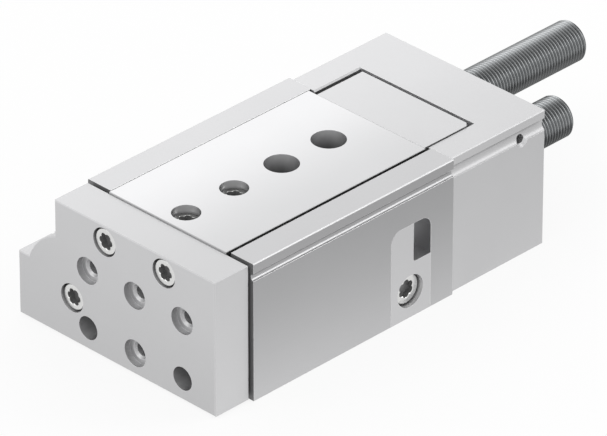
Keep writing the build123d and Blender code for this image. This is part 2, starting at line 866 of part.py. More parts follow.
def ball_cages():
    """Thin strips that keep the balls apart."""
    cages = []
    for x in (left_track, right_track):
        x0 = x - cage_thickness / 2
        x1 = x + cage_thickness / 2
        cage = block(x0, x1, cage_start, cage_start + cage_length, cage_bottom, cage_top)
        for place, y in ball_places():
            if place == x:
                cage -= round_bar((x0, y, track_z), (1, 0, 0), track_radius, cage_thickness)
        cages.append(cage)
    return cages


def guide_balls():
    return [Pos(x, y, track_z) * Sphere(ball_radius) for x, y in ball_places()]


pieces = {
    "guide_body": guide_body(),
    "cylinder_barrel": cylinder_barrel(),
    "barrel_screws": barrel_screws(),
    "rear_block": rear_block(),
    "rear_block_screws": rear_block_screws(),
    "locating_dowels": locating_dowels(),
    "side_insert": side_insert(),
    "side_insert_screw": side_insert_screw(),
    "rod_gland": rod_gland(),
    "gland_retaining_ring": gland_retaining_ring(),
    "rod_bush": rod_bush(),
    "rod_seal": rod_seal(),
    "static_seals": static_seals(),
    "end_cap": end_cap(),
    "travel_stop": travel_stop(),
    "travel_stop_screw": travel_stop_screw(),
    "retract_absorber": absorber(retract_x, retract_face, retract_end),
    "retract_adjuster": adjuster(retract_x, retract_end),
    "retract_plunger": plunger(retract_x, retract_tip, retract_face),
    "yoke_plate": yoke_plate(),
    "yoke_screws": yoke_screws(),
    "rod_screw": rod_screw(),
    "piston_rod": piston_rod(),
    "piston": piston(),
    "piston_seals": piston_seals(),
    "piston_bumpers": piston_bumpers(),
    "piston_magnet": piston_magnet(),
    "slide_plate": slide_plate(),
    "slide_screws": slide_screws(),
    "cage_stop": cage_stop(),
    "stop_carrier": stop_carrier(),
    "carrier_screws": carrier_screws(),
    "advance_absorber": absorber(advance_x, advance_face, advance_end),
    "advance_adjuster": adjuster(advance_x, advance_end),
    "advance_plunger": plunger(advance_x, advance_tip, advance_face),
    "ball_cages": ball_cages(),
    "guide_balls": guide_balls(),
}

os.makedirs("parts", exist_ok=True)
for name, piece in pieces.items():
    solids = piece if isinstance(piece, list) else [piece]
    export_step(Compound(children=[solid for one in solids for solid in one.solids()]), f"parts/{name}.step")
print(len(pieces), "nodes written")
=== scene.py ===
# %% [markdown]
# # A pneumatic mini slide, dressed for a studio photograph
#
# A mini slide is a small machine axis. Air pushes a piston in the housing, the piston's rod pushes
# the front plate, and the front plate pulls a slide plate along on two rows of balls. Almost all of
# it is bare metal: anodised aluminium for the blocks, ground steel for the guide, polished steel
# for the slide plate. So this lesson is about metal: how each one was made, and what that does to
# its surface.
#
# The solid model comes in as a fixed frame with every piece at its real size, in metres. Nothing
# here moves it.

# %% Load the solid model
import bpy
import json
import math
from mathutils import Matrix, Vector


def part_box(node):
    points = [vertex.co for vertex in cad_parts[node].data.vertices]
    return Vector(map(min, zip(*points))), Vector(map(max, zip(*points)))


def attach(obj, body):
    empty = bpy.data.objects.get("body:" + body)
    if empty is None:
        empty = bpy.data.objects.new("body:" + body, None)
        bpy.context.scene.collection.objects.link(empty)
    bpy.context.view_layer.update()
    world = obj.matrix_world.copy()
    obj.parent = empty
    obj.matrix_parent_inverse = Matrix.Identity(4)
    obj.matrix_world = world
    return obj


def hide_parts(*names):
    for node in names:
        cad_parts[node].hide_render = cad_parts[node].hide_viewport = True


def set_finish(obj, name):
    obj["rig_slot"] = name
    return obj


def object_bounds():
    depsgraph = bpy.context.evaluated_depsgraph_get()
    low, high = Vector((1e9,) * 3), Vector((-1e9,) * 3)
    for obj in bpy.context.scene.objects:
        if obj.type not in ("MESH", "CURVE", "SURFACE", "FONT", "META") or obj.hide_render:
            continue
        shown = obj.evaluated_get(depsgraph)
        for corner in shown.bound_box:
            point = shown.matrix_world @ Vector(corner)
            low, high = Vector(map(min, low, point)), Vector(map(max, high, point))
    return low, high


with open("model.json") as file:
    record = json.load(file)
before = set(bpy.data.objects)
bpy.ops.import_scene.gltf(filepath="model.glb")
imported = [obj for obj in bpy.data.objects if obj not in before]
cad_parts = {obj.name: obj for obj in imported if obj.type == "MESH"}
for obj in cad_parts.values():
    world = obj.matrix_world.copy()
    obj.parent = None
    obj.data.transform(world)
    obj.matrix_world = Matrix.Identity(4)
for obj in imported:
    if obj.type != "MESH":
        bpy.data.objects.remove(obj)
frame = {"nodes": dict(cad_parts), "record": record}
cad_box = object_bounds()
nodes = frame["nodes"]
MM = 0.001
cad_sides = [round(side / MM, 1) for side in cad_box[1] - cad_box[0]]
print(len(nodes), "solid pieces, box in mm:", cad_sides)

# %% [markdown]
# ## Camera
#
# The camera comes first, because every later choice is judged through it. A product photograph of a
# part this small is taken from more than two metres away with a very long lens, so its parallel
# edges stay almost parallel. The optical axis passes a little left of the middle, which is a small
# sideways shift of the lens.

# %% Camera
IMAGE_WIDTH = 607
SENSOR_WIDTH = 36.0
lens_in_widths = 12.816  # the focal length, in widths of the sensor
lens_axis_px = 297.91  # where the optical axis meets the picture, from its left edge
camera_place = Vector((1.40843, -1.42479, 1.23202))
camera_azimuth, camera_elevation = 44.74, 31.09


def outwards(azimuth, elevation):
    """The direction from the part outwards. Azimuth 0 is its front and 90 its right side."""
    turn, rise = math.radians(azimuth), math.radians(elevation)
    return Vector((math.sin(turn) * math.cos(rise), -math.cos(turn) * math.cos(rise),
                   math.sin(rise)))


def add_to_scene(name, data, place, towards):
    """A camera or lamp at a place, looking back along a direction."""
    thing = bpy.data.objects.new(name, data)
    bpy.context.scene.collection.objects.link(thing)
    thing.location = place
    thing.rotation_euler = towards.to_track_quat("Z", "Y").to_euler()
    return thing


camera_data = bpy.data.cameras.new("studio_camera")
camera_data.sensor_width = SENSOR_WIDTH
camera_data.lens = lens_in_widths * SENSOR_WIDTH
camera_data.shift_x = (IMAGE_WIDTH / 2 - lens_axis_px) / IMAGE_WIDTH
bpy.context.scene.camera = add_to_scene("studio_camera", camera_data, camera_place,
                                        outwards(camera_azimuth, camera_elevation))
print("lens", round(camera_data.lens), "mm at", round(camera_place.length, 2), "m")

# %% [markdown]
# ## Helpers for materials
#
# Colours are easiest to read off a photograph as sRGB hex values, but shaders work on linear light,
# so one function converts them. Another adds a node, sets its values and links its inputs, so that
# each material below reads as a list of what it is made of.

# %% Helpers for materials
def linear(hex_colour):
    """An sRGB hex colour as linear red, green, blue and alpha."""
    channels = [int(hex_colour[i:i + 2], 16) / 255 for i in (1, 3, 5)]
    light = [c / 12.92 if c <= 0.04045 else ((c + 0.055) / 1.055) ** 2.4 for c in channels]
    return (*light, 1.0)


def add_node(tree, kind, values=None, links=None, **settings):
    """A new node: settings are its options, values its sockets' numbers, links their sources."""
    node = tree.nodes.new(kind)
    for name, value in settings.items():
        setattr(node, name, value)
    for socket, value in (values or {}).items():
        node.inputs[socket].default_value = value
    for socket, source in (links or {}).items():
        tree.links.new(source, node.inputs[socket])
    return node


def new_material(name):
    """An empty node material and its tree."""
    material = bpy.data.materials.new(name)
    material.use_nodes = True
    material.node_tree.nodes.clear()
    return material, material.node_tree


print("mid grey is", round(linear("#808080")[0], 3), "in linear light")

# %% [markdown]
# ## Floor and world
#
# The floor is white paper. A camera or a reflection sees it at nearly full white, and the small
# share of real diffuse paper in it keeps the soft shadow under the part. The world does the same
# for what lies past the floor: it is white to look at and a little weaker as a lamp. Metal shows
# what is round it, so most of the light here is this pale room.

# %% Floor and world
paper_share = 0.15
floor_size = 12.0
floor_drop = 0.05 * MM  # keeps the floor out of the plane of the underside
room_strength = 0.8


def seen_directly(tree):
    """1 for the eye, also in a mirror or through glass, and 0 for what only lights the part."""
    path = add_node(tree, "ShaderNodeLightPath")
    seen = path.outputs["Is Camera Ray"]
    for ray in ("Is Glossy Ray", "Is Transmission Ray"):
        seen = add_node(tree, "ShaderNodeMath", None, {0: seen, 1: path.outputs[ray]},
                        operation="MAXIMUM").outputs[0]
    return seen


bpy.ops.object.select_all(action="DESELECT")
bpy.ops.mesh.primitive_plane_add(size=floor_size, location=(0, 0, -floor_drop))
floor = bpy.context.object
floor.name = "floor"
bpy.ops.object.transform_apply(location=True)

# White paper: matt, so it takes a shadow, and as bright as the background it runs into.
paper, tree = new_material("white_paper_floor")
share = add_node(tree, "ShaderNodeMath", {1: 1 - paper_share}, {0: seen_directly(tree)},
                 operation="MULTIPLY")
diffuse = add_node(tree, "ShaderNodeBsdfDiffuse", {"Color": linear("#F4F4F4")})
white = add_node(tree, "ShaderNodeEmission", {"Color": (1, 1, 1, 1), "Strength": 1.0})
mixed = add_node(tree, "ShaderNodeMixShader", None,
                 {0: share.outputs[0], 1: diffuse.outputs[0], 2: white.outputs[0]})
add_node(tree, "ShaderNodeOutputMaterial", None, {"Surface": mixed.outputs[0]})
floor.data.materials.append(paper)

world = bpy.data.worlds.new("pale_room")
world.use_nodes = True
tree = world.node_tree
tree.nodes.clear()
strength = add_node(tree, "ShaderNodeMapRange", {"To Min": room_strength, "To Max": 1.0},
                    {"Value": seen_directly(tree)})
sky = add_node(tree, "ShaderNodeBackground", {"Color": (1, 1, 1, 1)},
               {"Strength": strength.outputs[0]})
add_node(tree, "ShaderNodeOutputWorld", None, {"Surface": sky.outputs[0]})
bpy.context.scene.world = world
print("floor", floor_size, "m wide, world", world.name)

# %% [markdown]
# ## Lamps
#
# A lamp for metal is placed by what mirrors it. Upward faces mirror a large soft box behind and to
# the left towards the camera, and chamfers between top and right side mirror a smaller one behind
# and to the right. A third, in front and above, lights the front faces and the walls of the holes.

# %% Lamps
def soft_box(name, azimuth, elevation, distance, size, watts):
    """A square area lamp that looks at the part."""
    data = bpy.data.lights.new(name, "AREA")
    data.size = size
    data.energy = watts
    away = outwards(azimuth, elevation)
    return add_to_scene(name, data, away * distance, away)


soft_boxes = [
    soft_box("back_softbox", azimuth=228, elevation=36, distance=1.6, size=1.3, watts=4),
    soft_box("edge_softbox", azimuth=140, elevation=37, distance=1.6, size=0.7, watts=4.2),
    soft_box("front_softbox", azimuth=-10, elevation=45, distance=2.0, size=1.2, watts=6),
]
watts_in_all = sum(lamp.data.energy for lamp in soft_boxes)
print(len(soft_boxes), "lamps,", round(watts_in_all, 1), "W in all")

# %% [markdown]
# ## Painted light: tones that drift over a surface
#
# Flat metal in a real studio never has one tone, since each spot mirrors another spot of a room
# full of soft boxes and dark corners. Three lamps can't give that, so that light and shade is
# painted into the metals' colour as slow fades: on faces that look one way, the tone drifts from
# one place to another. A round bar gets painted bright and dark streaks by the angle of its
# surface, and a small place can have a painted highlight of its own.

# %% Painted fades, streaks and spots
AXES = "XYZ"
UP, RIGHT, FRONT, RIGHT_FRONT = (0, 0, 1), (1, 0, 0), (0, -1, 0), (0.71, -0.71, 0)
spot_blur_mm = 0.1


def facing_share(tree, where, facing):
    """The cosine between a surface and a direction."""
    return add_node(tree, "ShaderNodeVectorMath", {1: facing}, {0: where.outputs["Normal"]},
                    operation="DOT_PRODUCT").outputs["Value"]


def along(tree, where, axis):
    """The place of a point along one axis, in metres."""
    split = add_node(tree, "ShaderNodeSeparateXYZ", None, {0: where.outputs["Object"]})
    return split.outputs[AXES.index(axis)]


def fade(tree, where, facing, axis, low_mm, high_mm, low_share, high_share):
    """Painted light, low_share to high_share along an axis on faces looking one way, else 1."""
    drift = add_node(tree, "ShaderNodeMapRange",
                     {"From Min": low_mm * MM, "From Max": high_mm * MM,
                      "To Min": low_share - 1, "To Max": high_share - 1},
                     {"Value": along(tree, where, axis)}, interpolation_type="SMOOTHSTEP")
    towards = add_node(tree, "ShaderNodeClamp", None,
                       {"Value": facing_share(tree, where, facing)})
    return add_node(tree, "ShaderNodeMath", {2: 1.0},
                    {0: drift.outputs[0], 1: towards.outputs[0]}, operation="MULTIPLY_ADD")


def streaks(tree, where, stops):
    """Painted reflection round a bar along Y; stops are (degrees from the top to +X, share)."""
    split = add_node(tree, "ShaderNodeSeparateXYZ", None, {0: where.outputs["Normal"]})
    angle = add_node(tree, "ShaderNodeMath", None,
                     {0: split.outputs["X"], 1: split.outputs["Z"]}, operation="ARCTAN2")
    place = add_node(tree, "ShaderNodeMapRange", {"From Min": -math.pi, "From Max": math.pi},
                     {"Value": angle.outputs[0]})
    ramp = add_node(tree, "ShaderNodeValToRGB", None, {0: place.outputs[0]})
    colours = ramp.color_ramp
    colours.interpolation = "EASE"
    for number, (degrees, share) in enumerate(stops):
        if number > 1:
            colours.elements.new(1)
        colours.elements[number].position = (degrees + 180) / 360
        # A ramp holds no more than 1, so the shares go in halved.
        colours.elements[number].color = (share / 2, share / 2, share / 2, 1)
    return add_node(tree, "ShaderNodeMath", {1: 2.0}, {0: ramp.outputs["Color"]},
                    operation="MULTIPLY")


def spot(tree, where, place_mm, radius_mm, share):
    """A factor that is share within a radius of a place, and 1 elsewhere."""
    far = add_node(tree, "ShaderNodeVectorMath", {1: tuple(side * MM for side in place_mm)},
                   {0: where.outputs["Object"]}, operation="DISTANCE")
    return add_node(tree, "ShaderNodeMapRange",
                    {"From Min": (radius_mm - spot_blur_mm) * MM, "From Max": radius_mm * MM,
                     "To Min": share, "To Max": 1.0}, {"Value": far.outputs["Value"]})


print("the rim of a spot is blurred over", spot_blur_mm, "mm")

# %% [markdown]
# ## One recipe for machined metal
#
# One recipe serves all metals here, because they differ in what a tool did to them: the size and
# direction of its marks, how deep they are, and how evenly the surface scatters light. The marks
# are noise on Object coordinates, squeezed to a real size in millimetres on each axis. A mark that
# is long on one axis and narrow on the others is a grinding line. Marks finer than a third of a
# millimetre would vanish in this picture, so they are drawn that coarse. A Bevel node rounds the
# light on edges as a deburring tool rounds the metal, and a painted highlight makes those edges
# bright.

# %% Recipe for a machined metal
tone_drift = 0.02
roughness_drift = 0.05
patch_mm = 18.0
mark_detail, mark_coarseness = 3.0, 0.6
patch_detail = 2.0
bevel_samples = 6
edge_highlight_cosine = 0.9  # of the rounded normal to the face's own, where the painted edge highlight peaks
fully_dull_cosine = 0.95  # of a wall to the direction it looks, where it is dullest


def bright_edge(tree, edge, shine):
    """A painted highlight: a factor above 1 where the bevelled normal leaves the face's own."""
    face = add_node(tree, "ShaderNodeNewGeometry")
    same = add_node(tree, "ShaderNodeVectorMath", None,
                    {0: edge.outputs[0], 1: face.outputs["True Normal"]},
                    operation="DOT_PRODUCT")
    return add_node(tree, "ShaderNodeMapRange",
                    {"From Min": 1.0, "From Max": edge_highlight_cosine, "To Min": 1.0,
                     "To Max": 1 + shine}, {"Value": same.outputs["Value"]})


def dull_faces(tree, where, metallic, facing, start, least, limit_mm):
    """How metallic a surface is: least where it looks one way, in front of a limit along Y.

    start is the cosine at which it begins to fall.
    """
    before = add_node(tree, "ShaderNodeMath", {1: limit_mm * MM}, {0: along(tree, where, "Y")},
                      operation="LESS_THAN")
    looks_there = add_node(tree, "ShaderNodeMath", None,
                           {0: facing_share(tree, where, facing), 1: before.outputs[0]},
                           operation="MULTIPLY")
    bare = add_node(tree, "ShaderNodeMapRange",
                    {"From Min": start, "From Max": fully_dull_cosine, "To Min": metallic,
                     "To Max": least}, {"Value": looks_there.outputs[0]})
    return bare.outputs[0]


def around(tree, noise, middle, drift):
    """A noise as a value that drifts evenly about its middle."""
    return add_node(tree, "ShaderNodeMapRange",
                    {"To Min": middle - drift, "To Max": middle + drift},
                    {"Value": noise.outputs["Fac"]})


def machined_metal(name, colour, roughness, marks_mm, depth_mm, edge_mm=0.2, shine=0.3,
                   metallic=1.0, fades=(), bands=(), spots=(), dull=None):
    """A metal with tool marks of a real size along X, Y and Z, and with the factors from above.

    edge_mm is the radius that light sees on an edge, and shine is the edge's painted highlight.
    """
    material, tree = new_material(name)
    where = add_node(tree, "ShaderNodeTexCoord")
    squeezed = add_node(tree, "ShaderNodeMapping",
                        {"Scale": tuple(1 / (size * MM) for size in marks_mm)},
                        {"Vector": where.outputs["Object"]})
    marks = add_node(tree, "ShaderNodeTexNoise",
                     {"Scale": 1.0, "Detail": mark_detail, "Roughness": mark_coarseness},
                     {"Vector": squeezed.outputs[0]})
    patches = add_node(tree, "ShaderNodeTexNoise",
                       {"Scale": 1 / (patch_mm * MM), "Detail": patch_detail},
                       {"Vector": where.outputs["Object"]})
    edge = add_node(tree, "ShaderNodeBevel", {"Radius": edge_mm * MM}, None,
                    samples=bevel_samples)
    shade = around(tree, patches, 1, tone_drift)
    factors = [around(tree, marks, 1, tone_drift), bright_edge(tree, edge, shine)]
    factors += [fade(tree, where, *values) for values in fades]
    factors += [spot(tree, where, *values) for values in spots]
    if bands:
        factors.append(streaks(tree, where, bands))
    for factor in factors:
        shade = add_node(tree, "ShaderNodeMath", None,
                         {0: shade.outputs[0], 1: factor.outputs[0]}, operation="MULTIPLY")
    tinted = add_node(tree, "ShaderNodeVectorMath", {0: linear(colour)[:3]},
                      {"Scale": shade.outputs[0]}, operation="SCALE")
    rough = around(tree, marks, roughness, roughness_drift)
    relief = add_node(tree, "ShaderNodeBump", {"Distance": depth_mm * MM, "Strength": 1.0},
                      {"Height": marks.outputs["Fac"], "Normal": edge.outputs[0]})
    surface = add_node(tree, "ShaderNodeBsdfPrincipled", {"Metallic": metallic},
                       {"Base Color": tinted.outputs[0], "Roughness": rough.outputs[0],
                        "Normal": relief.outputs[0]})
    if dull:
        tree.links.new(dull_faces(tree, where, metallic, *dull), surface.inputs["Metallic"])
    add_node(tree, "ShaderNodeOutputMaterial", None, {"Surface": surface.outputs[0]})
    return material


print("tones drift by", tone_drift, "over patches of", patch_mm, "mm")

# %% [markdown]
# ## Painted light on the large faces
#
# Each fade says which faces it is for, the axis it runs along, its two ends in millimetres, and the
# share of the colour at each end. They are painted light and shade, after what the faces of the
# real part show under its studio lamps: the top falls off to the right, the sides are lighter near
# the floor, and steel beside a gap is dark. The streaks of a threaded bar are painted reflections
# of the lamps, as seen in its many flanks.

# %% Painted light on the large faces
# Painted light and shade on the aluminium: reflections of the room, light and shade in windows.
aluminium_painted_light = [
    (UP, "X", -36, 36, 0.985, 0.885),  # tops fall off to the right
    (RIGHT, "Z", -10, 50, 1.08, 0.97),  # sides are lighter near the floor
    (RIGHT, "Y", -80, 80, 1.07, 0.96),  # and at the front
    (FRONT, "Z", -10, 50, 0.99, 1.1),  # the front plate is lighter at its top
    (FRONT, "Y", -20, 0, 1.0, 1.35),  # painted front-lamp light on small faces inside windows
    (RIGHT, "X", 24, 32, 0.62, 1.0),  # painted shade on the bottoms of windows
]
# Painted light and shade on the guide steel: reflections of the room, shade behind the front plate.
steel_painted_light = [
    (UP, "X", -36, 36, 1.1, 0.9),  # both strips fall off to the right
    (RIGHT, "Z", -25, 50, 1.5, 0.87),  # the wall is lighter near the floor
    (RIGHT, "Y", -60, 30, 1.03, 0.93),  # and at the front
    (FRONT, "Y", -57, -50, 0.42, 1.6),  # painted shade on the front end behind the front plate
]
# Painted light and shade on the slide plate: a reflected sweep, shade in its gap and its holes.
plate_painted_light = [
    (UP, "X", -22, 24, 1.13, 0.86),  # painted reflection: a sweep from the bright left to the right
    (RIGHT, "X", 20, 24, 1.0, 0.12),  # painted shade, nearly black, on the side in the gap
    (RIGHT_FRONT, "Z", 40, 47.5, 0.45, 1.35),  # painted shade: hole walls darken with depth
]
# A painted highlight ring at each tapped hole's mouth in the front plate: place, radius, share.
thread_mouth_highlights = [((x, -69.6, z), 3.0, 1.1) for x, z in ((-20, 28), (0, 28), (20, 28), (0, 8))]
# Walls that see only other walls mirror less: facing, cosine where it starts, least, limit along Y.
yoke_hole_walls = ((0.8, 0, 0.6), 0.4, 0.4, -58.5)
guide_front_end = (FRONT, 0.7, 0.15, -50)
slide_hole_walls = (RIGHT_FRONT, 0.1, 0.2, 100)
# Painted reflection streaks: degrees round a bar from its top to +X, and the colour's share there.
bar_painted_streaks = [
    (-60, 0.6), (-28, 0.62), (-18, 1.0), (-6, 1.7), (6, 1.15), (13, 0.76),
    (22, 0.62), (44, 0.6), (58, 0.98), (80, 1.0), (100, 0.42), (140, 0.3),
]
print(len(aluminium_painted_light + steel_painted_light + plate_painted_light), "fades,", len(bar_painted_streaks), "stops on a bar")

# %% [markdown]
# ## Finishes
#
# Each finish is named for its metal and for how the surface was made. The numbers are the colour,
# the roughness, the size of a tool mark along X, Y and Z in millimetres, and its depth.

# %% Finishes
# Real marks are a few hundredths of a millimetre wide, and these are about ten times that.
fine_marks = (0.3, 0.3, 0.3)
etched_marks = (0.4, 0.4, 0.4)
moulded_marks = (0.5, 0.5, 0.5)
ground_lines = (0.35, 14.0, 0.35)
fine_ground_lines = (0.4, 20.0, 0.4)

finishes = {
    # Milled, etched and anodised: the etch leaves fine pits, so it is pale, even and satin.
    "anodised_aluminium": machined_metal(
        "satin_anodised_aluminium", "#C6C6C7", 0.5, etched_marks, 0.004, edge_mm=0.15,
        fades=aluminium_painted_light, spots=thread_mouth_highlights, dull=yoke_hole_walls),
    # Turned on a lathe and left bare: a little clearer and brighter than the etched blocks.
    "turned_aluminium": machined_metal("turned_aluminium", "#BDBEC0", 0.3, fine_marks, 0.003),
    # Ground along its length: fine long lines, greyer than aluminium, a painted highlight on edges.
    "ground_steel": machined_metal(
        "ground_guide_steel", "#ACACAD", 0.32, ground_lines, 0.004, shine=1.4,
        fades=steel_painted_light, dull=guide_front_end),
    # Ground finer still: near a mirror of the pale room, with a smooth painted reflection sweep.
    "polished_steel": machined_metal(
        "finely_ground_slide_steel", "#B6B6B7", 0.22, fine_ground_lines, 0.001, edge_mm=0.08,
        fades=plate_painted_light, dull=slide_hole_walls),
    # Ground and chromed rod: a clear, cold mirror.
    "hard_chrome": machined_metal("hard_chrome", "#C9CACD", 0.1, fine_marks, 0.0005),
    # Nickel on steel, with a painted highlight on its edges: the screws' rims are the brightest
    # small things on the part.
    "screw_steel": machined_metal(
        "nickel_plated_screw_steel", "#D8D8D7", 0.25, fine_marks, 0.002, edge_mm=0.12,
        shine=0.6),
    # The inside of a key socket gets hardly any light, and a darker, duller copy of the screw steel
    # paints shade on top of that, so it reads as a dark shape.
    "socket_steel": machined_metal(
        "dark_socket_painted_shade", "#7A7A7A", 0.35, fine_marks, 0.002, shine=0.0, metallic=0.2),
    # Screws deep in their holes: darker, as painted shade for the hole, with small sharp glints.
    "sunk_screw_steel": machined_metal(
        "sunk_screw_steel_painted_shade", "#8A8A89", 0.2, fine_marks, 0.002, edge_mm=0.1),
    # Rolled, not cut: smooth flanks, each with a line of light, and streaks of painted reflection.
    "threaded_steel": machined_metal(
        "rolled_thread_steel", "#9D9FA0", 0.36, fine_marks, 0.002, edge_mm=0.05,
        bands=bar_painted_streaks),
    # Pressed from powder: brown, full of pores, without a mirror.
    "bronze": machined_metal("sintered_bronze", "#A47B45", 0.45, fine_marks, 0.004),
    # Moulded rubber: black with a weak, wide sheen.
    "seal_rubber": machined_metal(
        "black_seal_rubber", "#151516", 0.5, moulded_marks, 0.01, metallic=0.0),
    # A pressed and fired magnet: dark grey and dry, like stoneware.
    "ferrite": machined_metal(
        "sintered_ferrite", "#2B2B2D", 0.6, fine_marks, 0.004, metallic=0.0),
    # Moulded plastic: near black, with the soft gloss of its mould.
    "cage_plastic": machined_metal(
        "black_cage_plastic", "#2A2A2A", 0.5, moulded_marks, 0.005, metallic=0.0),
}
print(len(finishes), "finishes")

# %% [markdown]
# ## Picking what an operator works on
#
# Modelling operators act on whatever is selected. So each step here first picks vertices, edges or
# faces by where they are or where they face, the way a hand with a mouse would click on them, and
# then calls the operator. Every piece is modelled round the origin, with its working axis on Z, and
# only put in its place when it is finished.

# %% Helpers for picking
WELD = 0.001 * MM
# A face looks a way when the cosine between the two is over this, so within 25 degrees.
NEARLY = 0.9


def deselect_all():
    """Nothing is selected, so that the next operator works on its own piece only."""
    bpy.ops.object.select_all(action="DESELECT")


def take(piece):
    """Selects one piece alone and makes it the active one."""
    deselect_all()
    piece.select_set(True)
    bpy.context.view_layer.objects.active = piece


def pick(piece, kind, test):
    """Edit mode, with only those vertices, edges or faces selected that pass the test.

    The test gets the middle of each, and its normal where it is a face. Code can only change a
    selection in object mode, and edit mode takes it over when it starts.
    """
    if piece.mode != "EDIT":
        bpy.ops.object.mode_set(mode="EDIT")
    bpy.ops.mesh.select_mode(type=kind)
    bpy.ops.mesh.select_all(action="DESELECT")
    bpy.ops.object.mode_set(mode="OBJECT")
    mesh = piece.data
    count = 0
    for part in {"VERT": mesh.vertices, "EDGE": mesh.edges, "FACE": mesh.polygons}[kind]:
        if kind == "VERT":
            middle, normal = part.co, None
        elif kind == "EDGE":
            first, second = (mesh.vertices[number].co for number in part.vertices)
            middle, normal = (first + second) / 2, None
        else:
            middle, normal = part.center, part.normal
        part.select = test(middle, normal)
        count += part.select
    bpy.ops.object.mode_set(mode="EDIT")
    return count


def from_axis(point):
    """Distance of a point from the Z axis."""
    return math.hypot(point.x, point.y)


print("a face looks a way within", round(math.degrees(math.acos(NEARLY))), "degrees")

# %% [markdown]
# ## Shaping and putting in place
#
# A few steps come back on every piece: an extrusion, a weld of vertices that lie in one place, a
# modifier that is applied at once, and the move to where the piece belongs. That move is written
# into the mesh, so that the finished object sits at the origin and its pattern doesn't slide.

# %% Helpers for shaping
SMOOTH_ANGLE = math.radians(28)  # an edge with a larger angle stays sharp
TOP_TO_FRONT = (math.radians(90), 0, 0)
TOP_TO_REAR = (math.radians(-90), 0, 0)
TOP_TO_RIGHT = (0, math.radians(90), 0)
TOP_TO_LEFT = (0, math.radians(-90), 0)
TOP_STAYS_UP = (0, 0, 0)


def push_out(move):
    """Extrudes what is selected and moves it."""
    bpy.ops.mesh.extrude_region_move(TRANSFORM_OT_translate={"value": move})


def weld_all():
    """In edit mode, merges all vertices that lie in one place."""
    bpy.ops.mesh.select_all(action="SELECT")
    bpy.ops.mesh.remove_doubles(threshold=WELD)


def apply_modifier(piece, kind, **settings):
    """Adds a modifier and applies it at once."""
    take(piece)
    modifier = piece.modifiers.new(kind.lower(), kind)
    for name, value in settings.items():
        setattr(modifier, name, value)
    bpy.ops.object.modifier_apply(modifier=modifier.name)


def cylinder(radius, height, sides, middle_z):
    """A new cylinder on the Z axis, with its place in its mesh."""
    deselect_all()
    bpy.ops.mesh.primitive_cylinder_add(vertices=sides, radius=radius, depth=height,
                                        location=(0, 0, middle_z))
    bpy.ops.object.transform_apply(location=True)
    return bpy.context.object


def set_down(piece, place, turn):
    """Turns and moves a finished piece and writes that into its mesh."""
    take(piece)
    piece.rotation_euler = turn
    piece.location = place
    bpy.ops.object.transform_apply(location=True, rotation=True, scale=True)
    bpy.ops.object.shade_smooth_by_angle(angle=SMOOTH_ANGLE)


print("vertices closer than", round(WELD / MM, 4), "mm are welded")

# %% [markdown]
# ## Shock absorbers with a rolled thread
#
# The bodies of the two shock absorbers are threaded from end to end, M14 with a fine pitch of
# 1.25 mm, so that they can be screwed in or out and locked. The solid model has plain bars there.
# A thread is a ridge wound on a core: the ridge's section starts as a plane, loses its face, and
# the Screw modifier winds its outline up the axis.

# %% The ridge of a thread
thread_pitch = 1.25 * MM
thread_depth = 0.75 * MM
crest_share, root_share = 0.18, 0.94  # widths of the ridge at its crest and root, in pitches
root_sink = 0.1 * MM  # how far the ridge reaches into the core
turn_steps = 40


def wound_ridge(core_radius, height):
    """The helical ridge of a thread round the Z axis, as one closed tube."""
    deselect_all()
    bpy.ops.mesh.primitive_plane_add(size=1, rotation=TOP_TO_FRONT)
    ridge = bpy.context.object
    bpy.ops.object.transform_apply(rotation=True)
    bpy.ops.object.mode_set(mode="EDIT")
    bpy.ops.mesh.select_all(action="SELECT")
    bpy.ops.transform.resize(value=(thread_depth + root_sink, 1, thread_pitch * root_share),
                             center_override=(0, 0, 0))
    pick(ridge, "VERT", lambda point, normal: point.x > 0)
    bpy.ops.transform.resize(value=(1, 1, crest_share / root_share), center_override=(0, 0, 0))
    bpy.ops.mesh.select_all(action="SELECT")
    bpy.ops.transform.translate(
        value=(core_radius + (thread_depth - root_sink) / 2, 0, -thread_pitch))
    bpy.ops.mesh.delete(type="ONLY_FACE")
    bpy.ops.object.mode_set(mode="OBJECT")
    # One turn more at each end than the bar needs, because both ends are cut off.
    turns = math.ceil(height / thread_pitch) + 2
    apply_modifier(ridge, "SCREW", axis="Z", screw_offset=thread_pitch, iterations=turns,
                   steps=turn_steps, render_steps=turn_steps, use_merge_vertices=False)
    bpy.ops.object.mode_set(mode="EDIT")
    weld_all()
    bpy.ops.mesh.fill_holes(sides=0)
    bpy.ops.mesh.normals_make_consistent(inside=False)
    bpy.ops.object.mode_set(mode="OBJECT")
    return ridge


print("thread of", round(thread_pitch / MM, 2), "mm pitch,", turn_steps, "steps to a turn")

# %% [markdown]
# The core is a cylinder with the plunger's bore in one end and the adjuster's seat in the other.
# Core and ridge are united, and the union is cut to a bar with chamfered ends, which runs the
# thread out as a lathe does.

# %% Threaded bars
bore_radius, bore_depth = 2.55 * MM, 28.4 * MM
seat_radius, seat_depth = 4.5 * MM, 4.8 * MM
end_chamfer = 0.95 * MM
blank_spare = 0.3 * MM  # the blank is wider than the thread, and only its chamfers cut
end_band = 0.01 * MM  # picks the edges of both ends
core_sides, blank_sides = 64, 96


def bored_core(radius, length):
    """The core of a bar from Z = 0 up: the plunger's bore on top, the adjuster's seat below."""
    bar = cylinder(radius, length, core_sides, length / 2)
    pick(bar, "FACE", lambda middle, normal: normal.z > NEARLY)
    bpy.ops.mesh.inset(thickness=radius - bore_radius)
    push_out((0, 0, -bore_depth))
    pick(bar, "FACE", lambda middle, normal: normal.z < -NEARLY and middle.z < MM)
    bpy.ops.mesh.inset(thickness=radius - seat_radius)
    push_out((0, 0, seat_depth))
    bpy.ops.object.mode_set(mode="OBJECT")
    return bar


